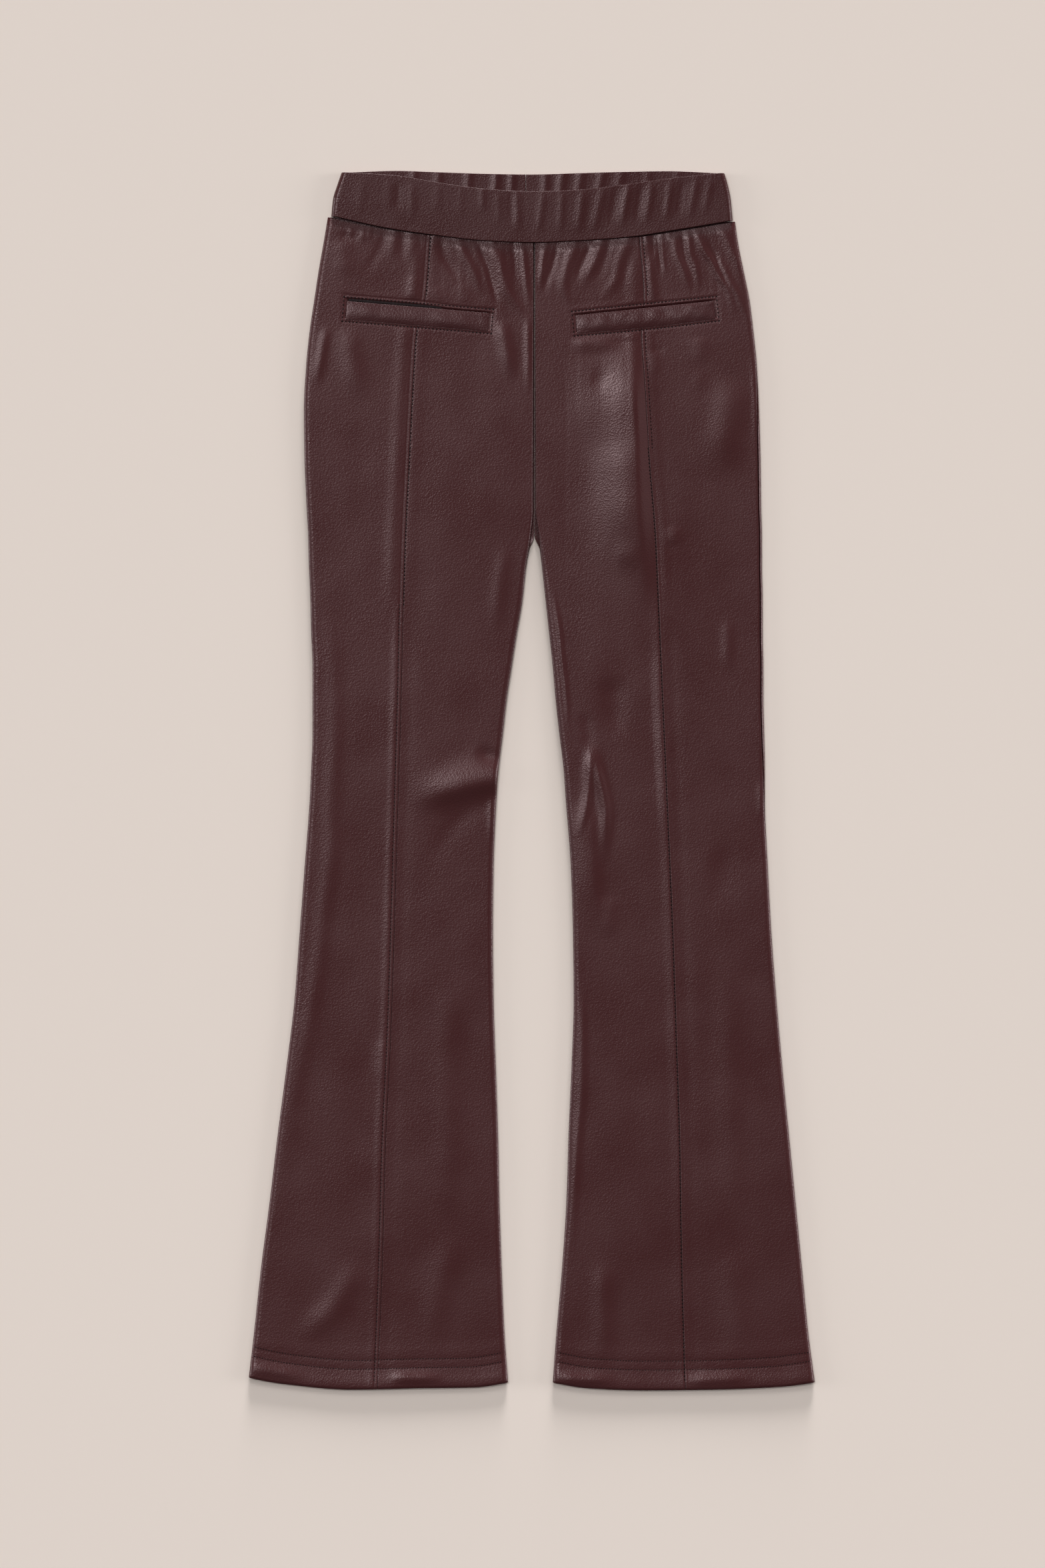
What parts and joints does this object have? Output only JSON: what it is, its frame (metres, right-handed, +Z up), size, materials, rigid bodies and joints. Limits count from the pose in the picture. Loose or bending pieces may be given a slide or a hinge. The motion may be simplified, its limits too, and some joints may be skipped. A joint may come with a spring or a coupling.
{
  "type": "faux leather flared leggings",
  "caption": "Pull-on flared leggings in dark faux leather, laid flat: elastic waistband, seamed fronts, welt pockets and twin-stitched hems.",
  "frame": {"origin": "centre of the garment's outline, on the surface it lies on", "axes": "+X toward the viewer's right across the legs, +Y up the garment from hems to waist, +Z up out of the front"},
  "size_m": [0.3906, 0.8411, 0.0067],
  "materials": {
    "band_leather": "fine-grained satin",
    "leg_leather": "fine-grained satin",
    "welt_leather": "fine-grained satin",
    "facing_leather": "matt, in shade",
    "stitching": "polyester thread"
  },
  "bodies": {
    "root": {"waistband": "band_leather", "front_side_left": "leg_leather", "front_side_right": "leg_leather", "front_centre_left": "leg_leather", "front_centre_right": "leg_leather", "back_left": "leg_leather", "back_right": "leg_leather", "welt_left": "welt_leather", "welt_right": "welt_leather", "pocket_facing_left": "facing_leather"}
  },
  "joints": []
}
